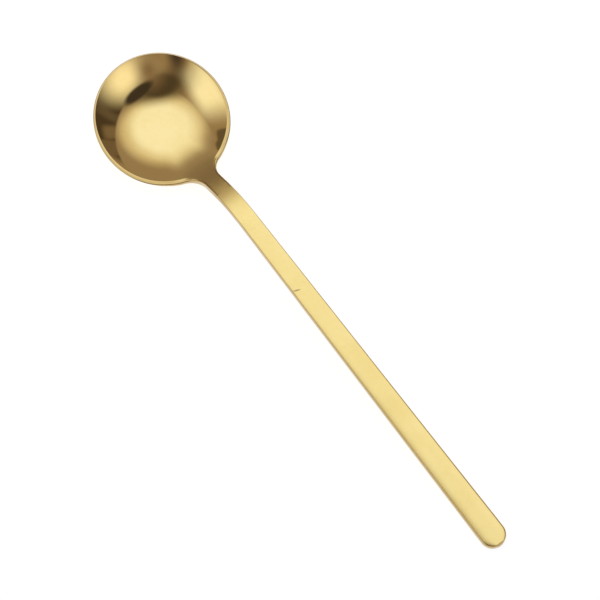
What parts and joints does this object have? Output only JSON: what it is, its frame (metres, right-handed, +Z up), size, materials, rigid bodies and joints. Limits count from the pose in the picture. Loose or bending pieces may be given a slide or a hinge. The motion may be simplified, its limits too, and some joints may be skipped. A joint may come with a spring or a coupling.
{
  "type": "coffee spoon",
  "caption": "Coffee spoon with a round bowl, a short raised neck and a long flat handle that widens to a rounded end.",
  "frame": {"origin": "on the table, under the middle of the spoon's length and width", "axes": "+X along the spoon from the bowl's tip to the handle's end, +Y across the bowl, +Z up out of the hollow"},
  "size_m": [0.13, 0.0286, 0.0099],
  "materials": {
    "polished_gold": "gold-coated stainless steel, polished",
    "satin_gold": "gold-coated stainless steel, satin brushed along its length"
  },
  "bodies": {
    "root": {"bowl": "polished_gold", "handle": "satin_gold"}
  },
  "joints": []
}
